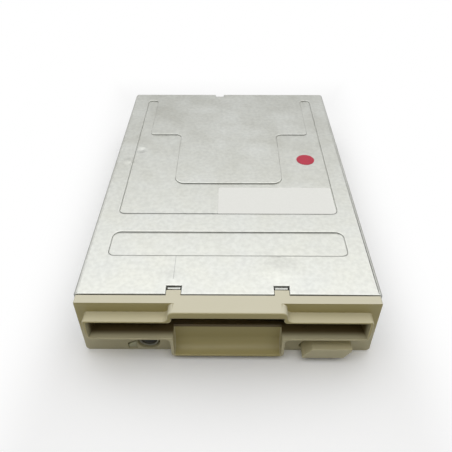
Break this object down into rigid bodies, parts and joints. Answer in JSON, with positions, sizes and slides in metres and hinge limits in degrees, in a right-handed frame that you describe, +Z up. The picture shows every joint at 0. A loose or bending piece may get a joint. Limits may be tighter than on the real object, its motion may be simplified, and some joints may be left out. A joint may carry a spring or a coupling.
{
  "type": "internal floppy disk drive",
  "caption": "Low metal box with a plastic front that has a disk slot, finger recess, lamp and eject button; a disk pushed in drops onto a spindle and is read by sliding heads.",
  "frame": {"origin": "middle of the bounding box at the underside the drive stands on", "axes": "+X to the right seen from the front, +Y from the bezel to the rear connectors, +Z up"},
  "size_m": [0.1016, 0.1532, 0.0254],
  "materials": {
    "aged_abs": "aged moulded plastic",
    "button_abs": "aged moulded plastic",
    "dark_lens": "dark translucent",
    "grey_nylon": "moulded",
    "window_lens": "pale translucent",
    "plated_steel": "zinc plated sheet",
    "label_paper": "matt paper sticker",
    "red_film": "printed film sticker",
    "cast_aluminium": "die cast",
    "steel": "pressed or turned",
    "green_board": "glass epoxy board",
    "bronze": "sintered",
    "copper_wire": "enamelled winding",
    "ferrite": "bonded ferrite",
    "black_plastic": "moulded",
    "pale_plastic": "moulded",
    "slider_ceramic": "polished",
    "gold_plate": "plated contact",
    "amber_film": "polyimide film"
  },
  "bodies": {
    "base": {"front_bezel": "aged_abs", "lamp_lens": "dark_lens", "lamp_collar": "grey_nylon", "lamp_window": "window_lens", "top_cover": "plated_steel", "paper_label": "label_paper", "round_sticker": "red_film", "chassis": "cast_aluminium", "slide_springs": "steel", "motor_board": "green_board", "spindle_bearing": "bronze", "stator_core": "steel", "stator_coils": "copper_wire", "stepper_motor": "steel", "stepper_bracket": "steel", "guide_rods": "steel", "rod_clamps": "steel", "clamp_screws": "steel", "track_sensor": "black_plastic", "index_sensor": "black_plastic", "switch_pair": "black_plastic", "single_switch": "black_plastic", "main_board": "green_board", "signal_connector": "black_plastic", "signal_pins": "gold_plate", "power_connector": "pale_plastic", "power_pins": "steel", "controller_chip": "black_plastic", "driver_chip": "black_plastic", "capacitors": "black_plastic", "fixed_flex": "amber_film", "motor_screws": "steel", "board_screws": "steel", "bracket_screws": "steel"},
    "slide": {"eject_button": "button_abs", "eject_slide": "steel"},
    "holder": {"disk_holder": "steel", "holder_pins": "steel", "lever_rivet": "steel", "lever_spring": "steel"},
    "lever": {"shutter_lever": "steel"},
    "carriage": {"head_carriage": "black_plastic", "hinge_pin": "steel", "load_spring": "steel", "lower_head": "slider_ceramic", "moving_flex": "amber_film"},
    "arm": {"upper_arm": "pale_plastic", "upper_head": "slider_ceramic"},
    "screw": {"lead_screw": "steel"},
    "rotor": {"spindle_rotor": "steel", "rotor_magnet": "ferrite", "hub_chuck": "steel", "chuck_magnet": "ferrite", "spindle_shaft": "steel", "drive_pin_spring": "steel"},
    "pin": {"drive_pin": "steel"},
    "protect": {"protect_plunger": "pale_plastic"},
    "disk_in": {"disk_in_plunger": "pale_plastic"},
    "density": {"density_plunger": "pale_plastic"}
  },
  "joints": [
    {"name": "eject_press", "type": "slide", "parent": "base", "child": "slide", "axis": [0, 1, 0], "range_m": [-0.0045, 0.0005], "deforming": ["slide_springs"]},
    {"name": "holder_lift", "type": "slide", "parent": "base", "child": "holder", "axis": [0, 0, 1], "range_m": [-0.00231, 0.00027]},
    {"name": "lever_turn", "type": "hinge", "parent": "holder", "child": "lever", "pos_m": [-0.038, 0.0184, 0.0195], "axis": [0, 0, 1], "range_deg": [-4.9, 43.1]},
    {"name": "arm_lift", "type": "hinge", "parent": "carriage", "child": "arm", "pos_m": [0, 0.0429, 0.0175], "axis": [1, 0, 0], "range_deg": [-1.3, 11.1]},
    {"name": "carriage_seek", "type": "slide", "parent": "base", "child": "carriage", "axis": [0, 1, 0], "range_m": [-0.0148, 0]},
    {"name": "screw_turn", "type": "hinge", "parent": "base", "child": "screw", "pos_m": [0.025, 0.0284, 0.0135], "axis": [0, 1, 0], "range_deg": [-1425, 1]},
    {"name": "spindle_spin", "type": "hinge", "parent": "base", "child": "rotor", "pos_m": [0, -0.0206, 0.0085], "axis": [0, 0, 1], "continuous": true},
    {"name": "drive_pin_press", "type": "slide", "parent": "rotor", "child": "pin", "axis": [0, 0, 1], "range_m": [-0.0008, 0], "stiffness_N_per_m": 300, "springref_m": 0.0006, "deforming": ["drive_pin_spring"]},
    {"name": "protect_press", "type": "slide", "parent": "base", "child": "protect", "axis": [0, 0, 1], "range_m": [-0.001, 0], "stiffness_N_per_m": 300, "springref_m": 0.0005},
    {"name": "disk_in_press", "type": "slide", "parent": "base", "child": "disk_in", "axis": [0, 0, 1], "range_m": [-0.001, 0], "stiffness_N_per_m": 300, "springref_m": 0.0005},
    {"name": "density_press", "type": "slide", "parent": "base", "child": "density", "axis": [0, 0, 1], "range_m": [-0.001, 0], "stiffness_N_per_m": 300, "springref_m": 0.0005}
  ],
  "couplings": [
    {"joint": "holder_lift", "follows": "eject_press", "ratio": 0.51111},
    {"joint": "lever_turn", "follows": "eject_press", "rad_per_m": -166.78},
    {"joint": "arm_lift", "follows": "eject_press", "rad_per_m": -42.664},
    {"joint": "screw_turn", "follows": "carriage_seek", "rad_per_m": 1675.5}
  ]
}
